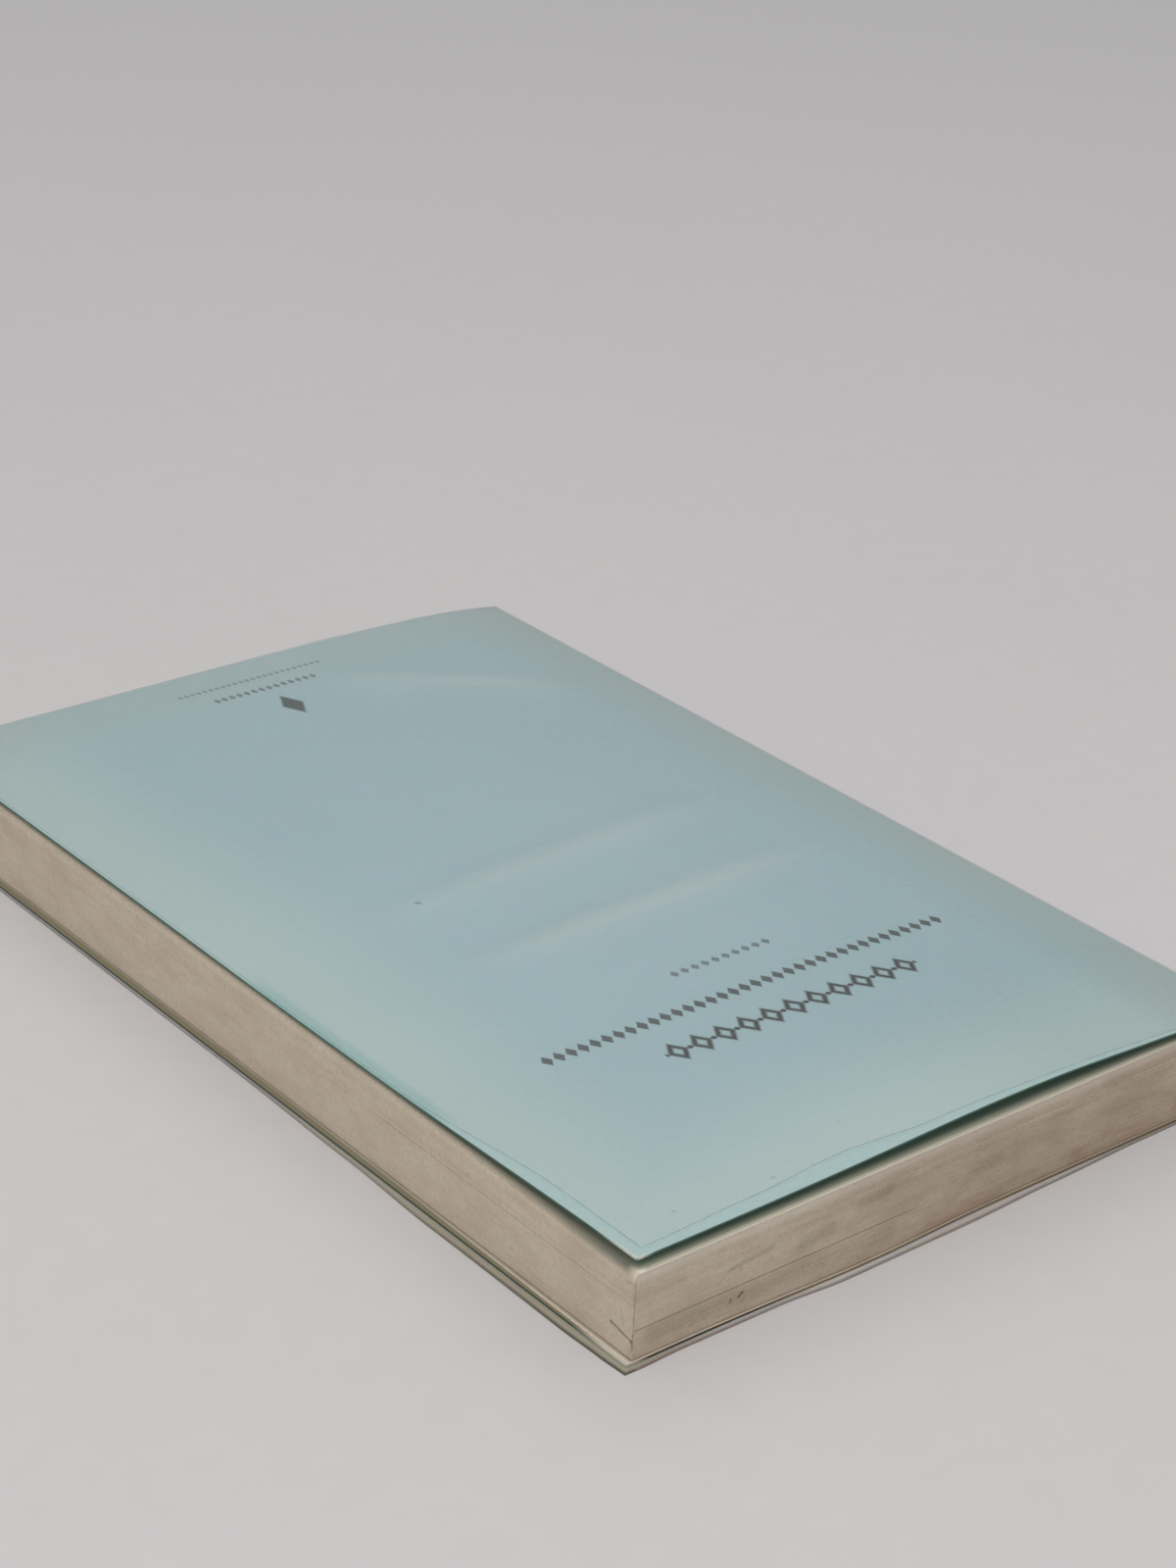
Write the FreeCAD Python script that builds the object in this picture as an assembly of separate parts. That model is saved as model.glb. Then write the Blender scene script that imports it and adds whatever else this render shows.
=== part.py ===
import FreeCAD, Part
import math
import os

# A perfect-bound paperback in a clear film jacket, lying on its back cover.
# Frame: the spine is at -X, the fore-edge at +X, the head at +Y, the tail at -Y, +Z is up.
# The origin is under the middle of the whole part, on the surface that it lies on.
# Sizes in millimetres. "Across" is the distance from the spine's outer face, "along" the one from the tail.

Vector = FreeCAD.Vector

# Card cover, one sheet folded round the pages
coverWidth = 135.0
coverHeight = 210.0
cardThickness = 0.35
cardCornerRadius = 0.8
backForeProud = 0.9

# Clear film jacket, wrapped round the card and slipped a little askew
filmThickness = 0.12
filmGap = 0.12
filmForeProud = 2.4
filmHeadProud = 1.4
filmSpineHeadProud = 0.4
filmTailInset = 0.3
filmFrontForeInset = 4.0
filmFrontHeadInset = 4.2
filmFrontSpineInset = 3.0
filmFrontEdgeInset = 0.25
filmFrontTaperLength = 56.0

# Pages, glued at the spine, in groups that lie a little apart
pagesThickness = 15.5
pagesForeInset = 0.1
pagesHeadInset = 0.1
pagesTailInset = 0.2
lastLeafThickness = 0.14
lastLeafForeProud = 0.5
lastLeafHeadProud = 0.25
lowerGroupHeight = 5.05
middleGroupHeight = 4.3
upperGroupHeight = 2.45
groupGrooveHeight = 0.16
groupGrooveDepth = 0.35
lowerGroupSetBack = 0.06
topGroupSetBack = 0.45
topEdgeRadius = 0.8
glueThickness = 0.6

# The block falls away towards the spine, where the glue holds it tight
spineRoundLength = 24.0
spineDrop = 2.05

# The front cover stands off the pages, most of all along the head
coverClearance = 0.3
coverPuff = 0.8
coverPuffStart = 10.0
coverPuffLength = 40.0
headLift = 1.25
headLiftRise = 22.0
headBulge = 1.05
headBulgeCentre = 60.0
headBulgeSpread = 30.0
headLiftLength = 66.0
foreSag = 0.22
foreSagCentre = 92.0
foreSagSpread = 30.0

# Clearances at the folds: from the spine's outer face to the hinge lines, and under the front cover
hingeClearance = 0.05
foldClearance = 0.03

# Points of the front cover's surface each way, closer at the spine, and how far it runs past the card
acrossPoints = 15
alongPoints = 17
acrossSpacing = 1.4
surfaceMargin = 2.0

filmStack = filmGap + filmThickness
hingeOut = filmStack + hingeClearance
spineX = -(coverWidth + filmForeProud - filmStack) / 2.0
tailY = -(coverHeight + filmHeadProud) / 2.0
headY = tailY + coverHeight
cardBottom = filmThickness
pagesBottom = cardBottom + cardThickness
pagesTop = pagesBottom + pagesThickness
foldHeight = pagesTop - spineDrop + coverClearance
spineTop = foldHeight - foldClearance
pagesSpineAcross = cardThickness + glueThickness
pagesForeAcross = coverWidth - pagesForeInset
tallCut = pagesTop * 2.0


def smoothStep(value):
    t = min(max(value, 0.0), 1.0)
    return t * t * (3.0 - 2.0 * t)


def bell(value, centre, spread):
    return math.exp(-((value - centre) / spread) ** 2)


def pageTopHeight(across):
    # Height of the top page, which falls in a flat curve over the last stretch to the spine
    short = max(spineRoundLength - across, 0.0) / spineRoundLength
    return pagesTop - spineDrop * short ** 2


def coverHeightAt(across, along):
    # Height of the front cover's lower face, over its clearance to the top page
    fromHead = coverHeight - along
    puff = coverPuff * smoothStep((across - coverPuffStart) / coverPuffLength)
    sag = foreSag * bell(fromHead, foreSagCentre, foreSagSpread) * smoothStep(across / coverWidth)
    rise = headLift * smoothStep(across / headLiftRise)
    bulge = headBulge * bell(across, headBulgeCentre, headBulgeSpread) * smoothStep(across / headLiftRise)
    nearHead = 1.0 - smoothStep(fromHead / headLiftLength)
    return pageTopHeight(across) + coverClearance + puff - sag + (rise + bulge) * nearHead


def place(across, along, height):
    return Vector(spineX + across, tailY + along, height)


def prism(corners, bottom, height):
    # Upright prism over plan corners, each given as across and along
    points = [place(across, along, bottom) for across, along in corners]
    outline = Part.makePolygon(points + [points[0]])
    return Part.Face(outline).extrude(Vector(0, 0, height))


def roundedSheet(width, length, bottom, height):
    # Flat sheet from the spine fold, with its two fore-edge corners rounded
    sheet = prism([(0, 0), (width, 0), (width, length), (0, length)], bottom, height)
    limit = spineX + width - cardCornerRadius / 2.0
    corners = [e for e in sheet.Edges if e.BoundBox.ZLength > height / 2.0 and e.BoundBox.XMin > limit]
    return sheet.makeFillet(cardCornerRadius, corners)


def curvedSheet(lift, thickness, outline):
    # Sheet that follows the front cover's lower face at a lift, cut to an upright outline
    rows = []
    for i in range(acrossPoints):
        share = i / (acrossPoints - 1.0)
        across = (coverWidth + 2.0 * surfaceMargin) * share ** acrossSpacing - surfaceMargin
        row = []
        for j in range(alongPoints):
            share = j / (alongPoints - 1.0)
            along = (coverHeight + 2.0 * surfaceMargin) * share - surfaceMargin
            row.append(place(across, along, coverHeightAt(across, along) + lift))
        rows.append(row)
    surface = Part.BSplineSurface()
    surface.interpolate(rows)
    sheet = Part.Solid(surface.toShape().extrude(Vector(0, 0, thickness)))
    if sheet.Volume < 0:
        sheet.reverse()
    return sheet.common(outline).Solids[0]


def makeFrontCover():
    outline = roundedSheet(coverWidth, coverHeight, 0.0, tallCut)
    return curvedSheet(0.0, cardThickness, outline)


def makeFrontFilm():
    outer = coverWidth - filmFrontEdgeInset
    outline = [
        (0, filmTailInset),
        (outer, filmTailInset),
        (outer, coverHeight - filmFrontTaperLength),
        (coverWidth - filmFrontForeInset, coverHeight - filmFrontHeadInset),
        (0, coverHeight - filmFrontSpineInset),
    ]
    return curvedSheet(cardThickness + filmGap, filmThickness, prism(outline, 0.0, tallCut))


def makeBackCover():
    return roundedSheet(coverWidth + backForeProud, coverHeight, cardBottom, cardThickness)


def makeBackFilm():
    fore = coverWidth + filmForeProud
    outline = [
        (0, filmTailInset),
        (fore, filmTailInset),
        (fore, coverHeight + filmHeadProud),
        (0, coverHeight + filmSpineHeadProud),
    ]
    return prism(outline, 0.0, filmThickness)


def makeCoverSpine():
    corners = [(0, 0), (cardThickness, 0), (cardThickness, coverHeight), (0, coverHeight)]
    return prism(corners, pagesBottom, spineTop - pagesBottom)


def makeSpineFilm():
    # The jacket's slanted head edge runs up the spine from the back film to the front film
    outer = -filmStack
    points = [
        place(outer, filmTailInset, pagesBottom),
        place(outer, coverHeight + filmSpineHeadProud, pagesBottom),
        place(outer, coverHeight - filmFrontSpineInset, spineTop),
        place(outer, filmTailInset, spineTop),
    ]
    outline = Part.makePolygon(points + [points[0]])
    return Part.Face(outline).extrude(Vector(filmThickness, 0, 0))


def makeGlue():
    along = coverHeight - pagesHeadInset
    corners = [
        (cardThickness, pagesTailInset),
        (pagesSpineAcross, pagesTailInset),
        (pagesSpineAcross, along),
        (cardThickness, along),
    ]
    return prism(corners, pagesBottom, pageTopHeight(cardThickness) - pagesBottom)


def pageGroup(bottom, height, foreOut, headOutFore, headOutSpine):
    # One group of pages; the last three values push its fore and head faces out of the block's own
    fore = pagesForeAcross + foreOut
    head = coverHeight - pagesHeadInset
    corners = [
        (pagesSpineAcross, pagesTailInset),
        (fore, pagesTailInset),
        (fore, head + headOutFore),
        (pagesSpineAcross, head + headOutSpine),
    ]
    return prism(corners, bottom, height)


def blockEnvelope():
    # The whole block's profile seen from the head, with its fall towards the spine
    flatStart = place(spineRoundLength, 0, pagesTop)
    half = (spineRoundLength + pagesSpineAcross) / 2.0
    fall = Part.Arc(
        place(pagesSpineAcross, 0, pageTopHeight(pagesSpineAcross)),
        place(half, 0, pageTopHeight(half)),
        flatStart,
    )
    low = place(pagesSpineAcross, 0, 0)
    out = place(coverWidth + lastLeafForeProud, 0, pagesTop)
    under = place(coverWidth + lastLeafForeProud, 0, 0)
    edges = [
        fall.toShape(),
        Part.LineSegment(flatStart, out).toShape(),
        Part.LineSegment(out, under).toShape(),
        Part.LineSegment(under, low).toShape(),
        Part.LineSegment(low, place(pagesSpineAcross, 0, pageTopHeight(pagesSpineAcross))).toShape(),
    ]
    face = Part.Face(Part.Wire(edges))
    return face.extrude(Vector(0, coverHeight + lastLeafHeadProud, 0))


def makePages():
    # From the bottom: the proud last leaf, then groups of pages with a fine groove over each of the lower
    # two, one that fades along the head and one along the fore-edge, and the top group's ledge at the spine
    level = pagesBottom
    parts = [pageGroup(level, lastLeafThickness, lastLeafForeProud, lastLeafHeadProud, 0.0)]
    level = level + lastLeafThickness
    parts.append(pageGroup(level, lowerGroupHeight, -lowerGroupSetBack, -lowerGroupSetBack, 0.0))
    level = level + lowerGroupHeight
    parts.append(pageGroup(level, groupGrooveHeight, -lowerGroupSetBack, -groupGrooveDepth, 0.0))
    level = level + groupGrooveHeight
    parts.append(pageGroup(level, middleGroupHeight, 0.0, 0.0, 0.0))
    level = level + middleGroupHeight
    parts.append(pageGroup(level, groupGrooveHeight, -groupGrooveDepth, 0.0, 0.0))
    level = level + groupGrooveHeight
    parts.append(pageGroup(level, upperGroupHeight, 0.0, 0.0, 0.0))
    level = level + upperGroupHeight
    parts.append(pageGroup(level, pagesTop - level, 0.0, 0.0, -topGroupSetBack))
    block = parts[0].multiFuse(parts[1:]).common(blockEnvelope())
    block = block.Solids[0].removeSplitter()
    return roundTopEdges(block)


def roundTopEdges(block):
    # Rounds the top page's flat stretch along the fore-edge and the head
    def onTop(edge):
        box = edge.BoundBox
        return box.ZMin > pagesTop - 0.001 and box.ZMax < pagesTop + 0.001
    fore = spineX + pagesForeAcross
    chosen = []
    for edge in block.Edges:
        box = edge.BoundBox
        atFore = box.XMin > fore - 0.01
        atHead = box.YMin > headY - pagesHeadInset - topGroupSetBack - 0.01
        if onTop(edge) and (atFore or atHead):
            chosen.append(edge)
    return block.makeFillet(topEdgeRadius, chosen)


parts = {
    "text_block": makePages(),
    "spine_glue": makeGlue(),
    "cover_spine": makeCoverSpine(),
    "jacket_film_spine": makeSpineFilm(),
    "front_cover": makeFrontCover(),
    "jacket_film_front": makeFrontFilm(),
    "back_cover": makeBackCover(),
    "jacket_film_back": makeBackFilm(),
}

os.makedirs("parts", exist_ok=True)
for node, shape in parts.items():
    shape.exportStep("parts/" + node + ".step")
    print(node, shape.isValid(), len(shape.Solids), round(shape.Volume, 2))
print("front hinge", round(spineX - hingeOut, 3), round(foldHeight, 3))
print("back hinge", round(spineX - hingeOut, 3), round(pagesBottom, 3))
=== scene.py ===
import bpy
import math
from functools import partial
from mathutils import Matrix, noise, Vector


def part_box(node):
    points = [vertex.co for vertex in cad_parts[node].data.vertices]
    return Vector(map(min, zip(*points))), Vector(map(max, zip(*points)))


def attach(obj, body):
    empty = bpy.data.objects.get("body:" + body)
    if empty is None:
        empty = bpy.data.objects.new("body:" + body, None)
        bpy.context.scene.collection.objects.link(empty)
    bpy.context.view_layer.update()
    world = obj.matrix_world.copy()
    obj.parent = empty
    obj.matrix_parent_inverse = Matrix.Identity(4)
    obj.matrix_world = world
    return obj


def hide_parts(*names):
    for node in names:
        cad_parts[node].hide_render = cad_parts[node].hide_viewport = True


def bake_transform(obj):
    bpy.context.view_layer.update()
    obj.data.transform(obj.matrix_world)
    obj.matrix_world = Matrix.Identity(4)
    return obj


# A perfect-bound paperback in a clear film jacket, lying on its back cover.
# The spine is at -X, the fore-edge at +X, the head at +Y and +Z is up. Shapes are worked out in
# millimetres as "across" from the spine's outer face, "along" from the tail, and height.

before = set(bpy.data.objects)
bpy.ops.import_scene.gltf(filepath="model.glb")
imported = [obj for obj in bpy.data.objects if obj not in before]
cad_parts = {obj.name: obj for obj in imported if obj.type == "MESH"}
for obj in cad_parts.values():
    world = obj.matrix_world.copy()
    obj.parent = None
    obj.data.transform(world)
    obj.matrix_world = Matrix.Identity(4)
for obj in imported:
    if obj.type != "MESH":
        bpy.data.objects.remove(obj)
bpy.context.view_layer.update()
print("frame loaded:", len(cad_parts), "solids")

mm = 0.001
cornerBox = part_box("back_cover")
spineX = cornerBox[0][0] / mm
tailY = cornerBox[0][1] / mm


def place(across, along, height):
    return Vector((spineX + across, tailY + along, height)) * mm


def smoothStep(value):
    t = min(max(value, 0.0), 1.0)
    return t * t * (3.0 - 2.0 * t)


def bell(value, centre, spread):
    return math.exp(-((value - centre) / spread) ** 2)


def between(value, points):
    # Height of a smooth line through points, each a place and a height
    if value <= points[0][0]:
        return points[0][1]
    for (low, start), (high, end) in zip(points, points[1:]):
        if value <= high:
            return start + (end - start) * smoothStep((value - low) / (high - low))
    return points[-1][1]


def ruler(*stretches):
    # Places from 0 on, each stretch given as where it ends and its number of steps
    places = [0.0]
    for end, steps in stretches:
        start = places[-1]
        places += [start + (end - start) * (i + 1) / steps for i in range(steps)]
    return places


def linear(hexColour, strength=1.0):
    # sRGB hex to the linear colour that the nodes work in
    parts = [int(hexColour[i:i + 2], 16) / 255.0 for i in (1, 3, 5)]
    parts = [c / 12.92 if c <= 0.04045 else ((c + 0.055) / 1.055) ** 2.4 for c in parts]
    return tuple(c * strength for c in parts) + (1.0,)


# The setting that the word after the dot of a node's kind stands for
dotted = {"Math": "operation", "VectorMath": "operation", "MapRange": "interpolation_type"}


def addNode(tree, kind, values=(), **settings):
    # The kind leaves out "ShaderNode". Settings are the node's own properties; values fill its inputs in
    # order or by name, and a node given as a value is linked by its first output
    kind, *choice = kind.split(".")
    if choice:
        settings[dotted[kind]] = choice[0]
    node = tree.nodes.new(kind if "Node" in kind else "ShaderNode" + kind)
    for name, setting in settings.items():
        setattr(node, name, setting)
    pairs = values.items() if isinstance(values, dict) else enumerate(values)
    for key, value in pairs:
        if isinstance(value, bpy.types.Node):
            value = value.outputs[0]
        if isinstance(value, bpy.types.NodeSocket):
            tree.links.new(value, node.inputs[key])
        elif value is not None:
            node.inputs[key].default_value = value
    return node


def newMaterial(name):
    material = bpy.data.materials.new(name)
    material.use_nodes = True
    material.node_tree.nodes.clear()
    return material, partial(addNode, material.node_tree)


def painted(add, colour, *layers):
    # Lays each layer's colour over what is below it, through the layer's mask; hex colours are made linear
    for mask, over in layers:
        below, over = (linear(tone) if isinstance(tone, str) else tone for tone in (colour, over))
        colour = add("Mix", {0: mask, 6: below, 7: over}, data_type="RGBA").outputs[2]
    return colour


# Where the photograph was taken from; the frame is 1200 by 1600
view = {
    "location": (0.32632, 0.39929, 0.28381),
    "yaw": 39.904, "pitch": 25.811, "roll": 2.6375,
    "focal": 75.32, "sensor": 36.0,
}


def makeCamera():
    yaw, pitch, roll = (math.radians(view[key]) for key in ("yaw", "pitch", "roll"))
    forward = Vector((-math.sin(yaw) * math.cos(pitch), -math.cos(yaw) * math.cos(pitch), -math.sin(pitch)))
    right = Vector((-math.cos(yaw), math.sin(yaw), 0.0))
    up = right.cross(forward)
    turnedRight = right * math.cos(roll) + up * math.sin(roll)
    turnedUp = up * math.cos(roll) - right * math.sin(roll)
    lens = bpy.data.cameras.new("photoCamera")
    lens.sensor_width = view["sensor"]
    lens.lens = view["focal"]
    lens.clip_start = 0.01
    camera = bpy.data.objects.new("photoCamera", lens)
    turn = Matrix((turnedRight, turnedUp, -forward)).transposed().to_4x4()
    camera.matrix_world = Matrix.Translation(Vector(view["location"])) @ turn
    bpy.context.collection.objects.link(camera)
    bpy.context.scene.camera = camera


makeCamera()
bpy.context.scene.view_settings.view_transform = "Standard"
print("camera set")

# Light and table: a bright ceiling, a soft panel over the near side and one behind for the film's shine
light = {
    "ceiling": 0.58, "walls": 0.3, "dimBelow": 0.1, "fullAbove": 0.75,
    "keyPower": 10.6, "keySize": 1.0, "keyFrom": (0.62, 0.5, 1.3),
    "backPower": 6.2, "backSize": 1.7, "backFrom": (-1.35, -1.65, 2.15),
}
table = {
    "side": 6.0, "gap": 0.02, "tone": "#cbc8c8", "cloud": 7.0, "mottle": 140.0,
    # painted shade: the board is darker away from the lamps, from and to these distances in metres
    "farShadeTone": "#c8c6c6", "farWay": (-0.64, -0.77, 0.0), "farBand": (0.1, 1.0, 0.0, 1.0),
}


def makeLamp(name, power, size, spot):
    lamp = bpy.data.lights.new(name, "AREA")
    lamp.shape = "DISK"
    lamp.energy = power
    lamp.size = size
    holder = bpy.data.objects.new(name, lamp)
    spot = Vector(spot)
    holder.matrix_world = Matrix.Translation(spot) @ spot.to_track_quat("Z", "Y").to_matrix().to_4x4()
    holder.visible_camera = False
    bpy.context.collection.objects.link(holder)


def makeLight():
    world = bpy.data.worlds.new("softRoom")
    world.use_nodes = True
    tree = world.node_tree
    add = partial(addNode, tree)
    way = add("TexCoord").outputs["Generated"]
    up = add("SeparateXYZ", [way]).outputs[2]
    level = add("MapRange.SMOOTHSTEP",
                [up, light["dimBelow"], light["fullAbove"], light["walls"], light["ceiling"]])
    tree.links.new(level.outputs[0], tree.nodes["Background"].inputs["Strength"])
    tree.nodes["Background"].inputs["Color"].default_value = (1.0, 1.0, 1.0, 1.0)
    bpy.context.scene.world = world
    makeLamp("keyPanel", light["keyPower"], light["keySize"], light["keyFrom"])
    makeLamp("backPanel", light["backPower"], light["backSize"], light["backFrom"])


def tabletop():
    # Matt painted board: no gloss to speak of and a very faint cloudiness
    material, add = newMaterial("mattPaintedBoard")
    spot = add("TexCoord").outputs["Object"]
    cloud = add("TexNoise", {"Vector": spot, "Scale": table["cloud"], "Detail": 3.0})
    grain = add("TexNoise", {"Vector": spot, "Scale": table["mottle"], "Detail": 4.0})
    both = add("Math.ADD", [cloud, grain])
    share = add("MapRange", [both, 0.6, 1.4, 0.0, 1.0])
    # Painted shade: the board's colour darkens away from the lamps
    away = add("VectorMath.DOT_PRODUCT", [spot, table["farWay"]]).outputs["Value"]
    far = add("MapRange.SMOOTHSTEP", [away, *table["farBand"]])
    colour = painted(add, linear(table["tone"], 0.98), (share, linear(table["tone"], 1.02)),
                     (far, table["farShadeTone"]))
    bump = add("Bump", {"Height": grain, "Strength": 0.05, "Distance": 0.0003})
    paint = add("BsdfPrincipled", {"Base Color": colour, "Roughness": 0.75, "Normal": bump})
    add("OutputMaterial", [paint])
    return material


def makeTable():
    half = table["side"] / 2.0
    low = -table["gap"] * mm
    mesh = bpy.data.meshes.new("tabletop")
    corners = [(-half, -half, low), (half, -half, low), (half, half, low), (-half, half, low)]
    mesh.from_pydata(corners, [], [(0, 1, 2, 3)])
    mesh.materials.append(tabletop())
    board = bpy.data.objects.new("tabletop", mesh)
    bpy.context.collection.objects.link(board)


makeLight()
makeTable()
print("light and table ready")

# One sheet of card folded round the pages; the front stands off them, most of all along the head
cover = {
    "width": 135.0, "height": 210.0, "thickness": 0.35, "cornerRadius": 0.5, "backProud": 0.9,
    "foldRadius": 0.7, "seam": 2.4, "bottom": 0.12,
    "clearance": 0.3, "puff": 0.8, "puffStart": 10.0, "puffLength": 40.0,
    "headLift": 1.25, "headLiftRise": 22.0, "headBulge": 1.05, "headBulgeCentre": 60.0,
    "headBulgeSpread": 30.0, "headLiftLength": 66.0,
    "foreSag": 0.22, "foreSagCentre": 92.0, "foreSagSpread": 30.0,
    # the lower leaves and the back splay out at the head by this much, most at the centre
    "splay": 0.8, "splayCentre": 89.0, "splaySpread": 17.0, "splayStart": 150.0,
}
pages = {
    "leaves": 128, "bottom": 0.47, "thickness": 15.5, "spineAcross": 0.95, "foreAcross": 134.9,
    "tailAlong": 0.2, "headAlong": 209.9, "roundLength": 24.0, "spineDrop": 2.05,
}


def pageTopHeight(across):
    short = max(pages["roundLength"] - across, 0.0) / pages["roundLength"]
    return pages["bottom"] + pages["thickness"] - pages["spineDrop"] * short ** 2


def coverHeightAt(across, along):
    # Height of the front cover's lower face
    fromHead = cover["height"] - along
    puff = cover["puff"] * smoothStep((across - cover["puffStart"]) / cover["puffLength"])
    sag = cover["foreSag"] * bell(fromHead, cover["foreSagCentre"], cover["foreSagSpread"])
    sag = sag * smoothStep(across / cover["width"])
    rise = smoothStep(across / cover["headLiftRise"])
    bulge = cover["headBulge"] * bell(across, cover["headBulgeCentre"], cover["headBulgeSpread"])
    lift = cover["headLift"] + bulge
    nearHead = 1.0 - smoothStep(fromHead / cover["headLiftLength"])
    return pageTopHeight(across) + cover["clearance"] + puff - sag + lift * rise * nearHead


def frontPoint(path, along, out):
    # A point of the front half's sheet: path 0 is at the fold, below 0 it runs down the spine, and out is
    # how far the face lies outside the card's outer face
    radius = cover["foldRadius"]
    peak = coverHeightAt(0.0, along) + cover["thickness"]
    level = coverHeightAt(max(path, radius), along) + cover["thickness"]
    if path <= -radius:
        return place(-out, along, peak + path)
    if path >= radius:
        return place(path, along, level + out)
    turn = (path / radius + 1.0) * math.pi / 4.0
    base = peak - radius
    height = base + (level + out - base) * math.sin(turn)
    return place(radius - (radius + out) * math.cos(turn), along, height)


def backPoint(path, along, out, outBelow, lift=0.0):
    # The same for the back half, which lies flat; out changes to outBelow round the fold, and lift is how
    # far the point stands off the table
    radius = cover["foldRadius"]
    if path <= -radius:
        return place(-out, along, cover["bottom"] - path + lift)
    if path >= radius:
        return place(path, along, cover["bottom"] - outBelow + lift)
    turn = (path / radius + 1.0) * math.pi / 4.0
    here = out + (outBelow - out) * smoothStep(turn / (math.pi / 2.0))
    height = cover["bottom"] + radius - (radius + here) * math.sin(turn)
    return place(radius - (radius + here) * math.cos(turn), along, height + lift)


def sheetPiece(name, paths, lengths, pointAt, materials, turned=False, edged=False):
    # A closed thin sheet. From a place along the path round the spine and one from the tail to the head,
    # pointAt gives the outer and the inner point, the place on the flat sheet in mm and the mm to the free
    # edge. The materials go on the outer face, the inner face and the cut edges
    spots = [pointAt(path, length) for path in paths for length in lengths]
    columns, rows, half = len(paths), len(lengths), len(spots)
    faces = []
    slots = []
    for i in range(columns - 1):
        for j in range(rows - 1):
            a, b, c, d = i * rows + j, (i + 1) * rows + j, (i + 1) * rows + j + 1, i * rows + j + 1
            faces.append((a, b, c, d))
            slots.append(0)
            faces.append((d + half, c + half, b + half, a + half))
            slots.append(1)
    rim = [i * rows for i in range(columns)]
    rim += [(columns - 1) * rows + j for j in range(1, rows)]
    rim += [i * rows + rows - 1 for i in range(columns - 2, -1, -1)]
    rim += [j for j in range(rows - 2, 0, -1)]
    for first, second in zip(rim, rim[1:] + rim[:1]):
        faces.append((second, first, first + half, second + half))
        slots.append(2)
    if turned:
        faces = [face[::-1] for face in faces]
    mesh = bpy.data.meshes.new(name)
    mesh.from_pydata([spot[0] for spot in spots] + [spot[1] for spot in spots], [], faces)
    for material in materials:
        mesh.materials.append(material)
    mesh.polygons.foreach_set("material_index", slots)
    mesh.polygons.foreach_set("use_smooth", [slot < 2 for slot in slots])
    layer = mesh.uv_layers.new(name="sheetMap")
    for loop in mesh.loops:
        u, v = spots[loop.vertex_index % half][2]
        layer.data[loop.index].uv = (u * mm, v * mm)
    if edged:
        fromEdge = mesh.attributes.new("fromEdge", "FLOAT", "POINT")
        fromEdge.data.foreach_set("value", [spot[3] for spot in spots] * 2)
    edges = mesh.attributes.new("sharp_edge", "BOOLEAN", "EDGE")
    walls = set()
    for polygon, slot in zip(mesh.polygons, slots):
        if slot == 2:
            walls.update(tuple(sorted(key)) for key in polygon.edge_keys)
    edges.data.foreach_set("value", [tuple(sorted(edge.vertices)) in walls for edge in mesh.edges])
    mesh.validate()
    piece = bpy.data.objects.new(name, mesh)
    bpy.context.collection.objects.link(piece)
    return piece


def sheetPaths(down, below, *stretches):
    # Columns from the seam on the spine, then close together round the fold, and out to the fore-edge
    radius = cover["foldRadius"]
    fold = [-1.1, -radius, -0.45, -0.2, 0.0, 0.2, 0.45, radius]
    return [down] + below + fold + [value + radius for value in ruler(*stretches)[1:]]


def stretched(path, start, width, edge):
    # Beyond start the columns are drawn in or out, so that the one at width ends at the edge
    if path <= start:
        return path
    return start + (path - start) * (edge - start) / (width - start)


# The card's looks
card = {
    # The bluish tint in the middle is a painted reflection, and the paler edge tint is painted light
    "tint": "#96b4bb", "tintDeep": "#95b5b9", "litEdgeTint": "#a5bdbb", "spineTint": "#9db0ad",
    "inside": "#4a8f7c", "cut": "#48685c", "backRim": "#857d66",
    # The back's cut edge colours are dyed board darkened as painted contact shadow, darkest near the corner
    "backCut": "#43564d", "cornerShadedCut": "#3c3a2d", "headCut": "#7d6a50",
    # The darker teal below is painted shade along the fore-edge, and the deep flecks use it as well
    "curlShadeAndFleck": "#85adab", "ink": "#12211f", "wear": "#dcd9ca", "frayed": "#d9d7cb",
    "fibre": 0.35,       # mm between the fibres' bumps
    "mottle": 1.2,       # mm across a paler or deeper fleck, drawn coarser than the real fibres to show
    "flecks": 0.15,      # how strong the flecks are
    "cloud": 9.0,        # mm across a cloud in the flat tint
    # bands, in mm from an edge: where each starts, where it ends, and its share at both
    "litBorderBand": (34.0, 3.0, 0.0, 0.95), "spineBand": (112.0, 137.0, 0.0, 0.7),
    "tailBand": (186.0, 209.0, 0.0, 0.6), "rimBand": (2.2, 1.2, 0.0, 1.0),
    "lighterHeadBand": (22.0, 32.0, 0.0, 1.0), "headCutDepth": 0.3,
    # painted shade: a darker band along the fore-edge, where the curled edge loses the sheen: its centre from
    # the head, its half length and its depth
    "curlShadeCentre": 74.0, "curlShadeLength": (32.0, 20.0, 0.0, 0.75), "curlShadeDepth": (3.2, 1.6, 0.0, 1.0),
    # the worn head corner: how far it reaches, and how deep between ragged fibres
    "wornReach": (10.0, 3.0, 0.0, 1.0), "wornDepth": (0.95, 0.5, 0.0, 0.7), "wornSlant": 3.0, "raggedness": 0.9,
    # specks and faint smears on the front: across and along of both ends, width and darkness
    "specks": [
        ((95.2, 102.7), (95.6, 102.5), 0.55, 0.6), ((122.5, 203.6), (122.9, 203.5), 0.4, 0.3),
        ((104.6, 205.2), (105.0, 205.3), 0.45, 0.25), ((113.5, 198.9), (113.7, 198.9), 0.35, 0.22),
        ((86.0, 199.5), (86.3, 199.6), 0.4, 0.2), ((62.0, 120.0), (62.2, 120.0), 0.4, 0.2),
    ],
}
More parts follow.
